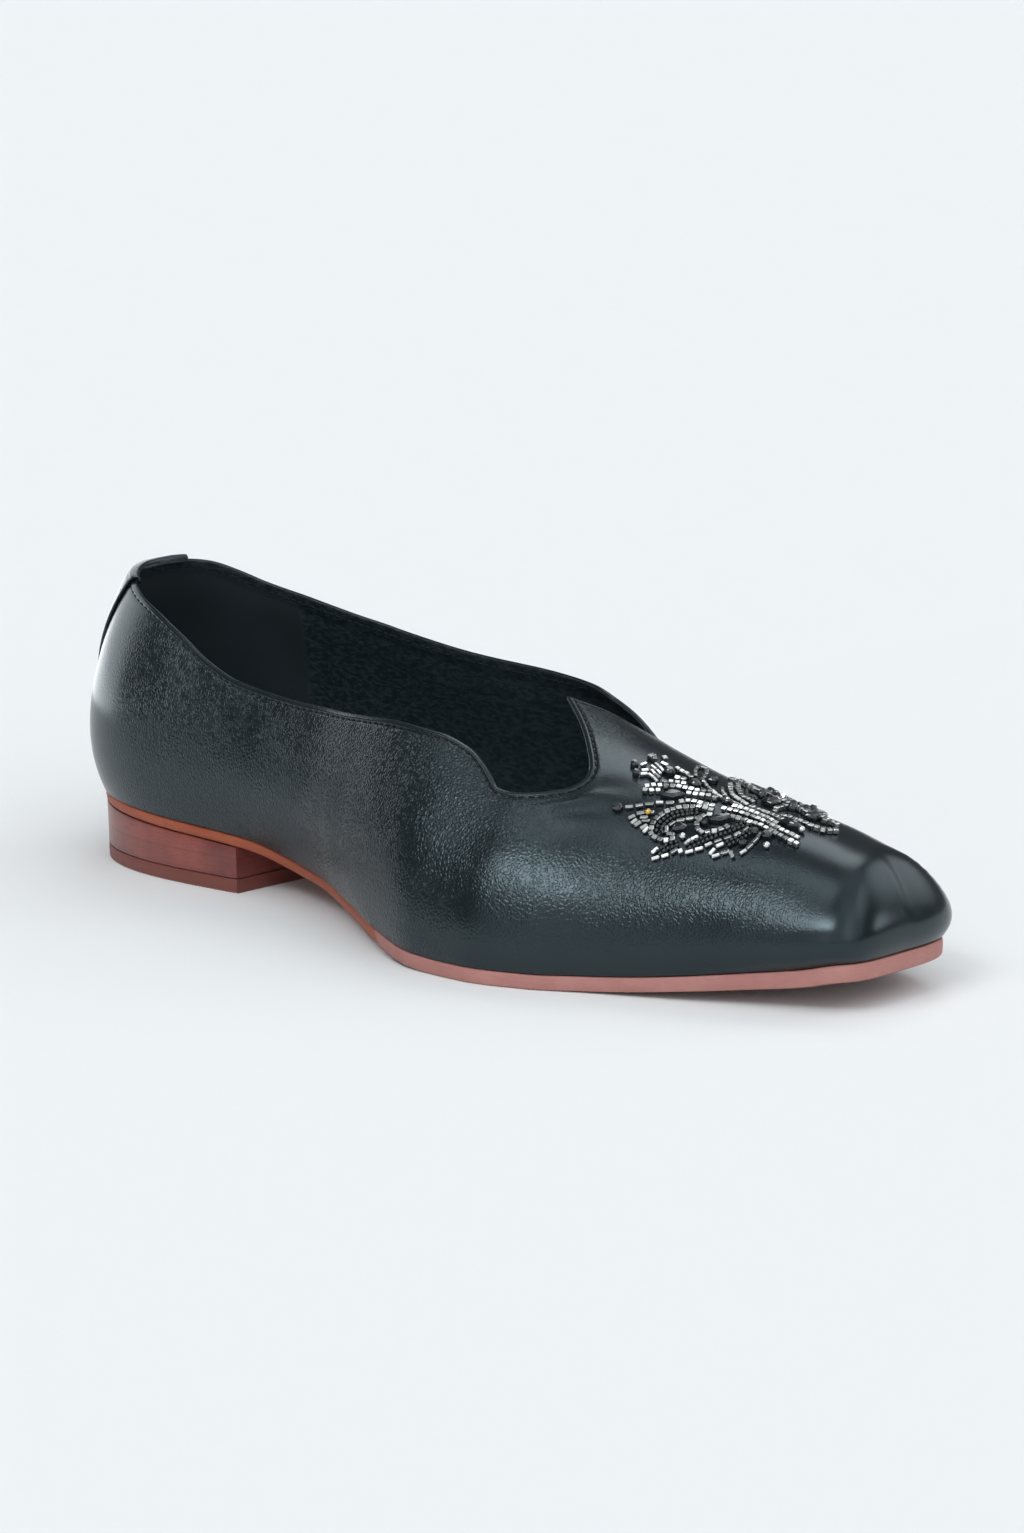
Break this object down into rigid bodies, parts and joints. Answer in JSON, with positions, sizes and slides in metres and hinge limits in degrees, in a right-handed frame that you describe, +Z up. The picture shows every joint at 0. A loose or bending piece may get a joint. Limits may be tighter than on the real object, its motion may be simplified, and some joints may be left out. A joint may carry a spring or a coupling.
{
  "type": "leather slip-on shoe",
  "caption": "Jutti: a black leather slip-on for the right foot, with a scalloped collar rising to a peak over the instep, a beaded motif on the vamp, a slender toe and a low stacked heel.",
  "frame": {"origin": "middle of the bounding box at the floor", "axes": "+X runs along the shoe from the heel to the toe, +Y to the medial side, +Z up from the floor"},
  "size_m": [0.284, 0.1036, 0.085],
  "materials": {
    "upper_leather": "fine pebbled grain, waxed to a soft gloss",
    "insole_leather": "smooth, matt",
    "waist_leather": "stained orange brown, satin",
    "sole_rubber": "matt, finely textured",
    "heel_wood": "stained red brown, polished layers",
    "top_piece_rubber": "smooth, satin",
    "beads": "silver cut beads among black faceted stones"
  },
  "bodies": {
    "root": {"upper": "upper_leather", "insole": "insole_leather", "sole_waist": "waist_leather", "sole_forefoot": "sole_rubber", "heel_block": "heel_wood", "heel_top_piece": "top_piece_rubber", "back_tab": "upper_leather", "bead_motif": "beads"}
  },
  "joints": []
}
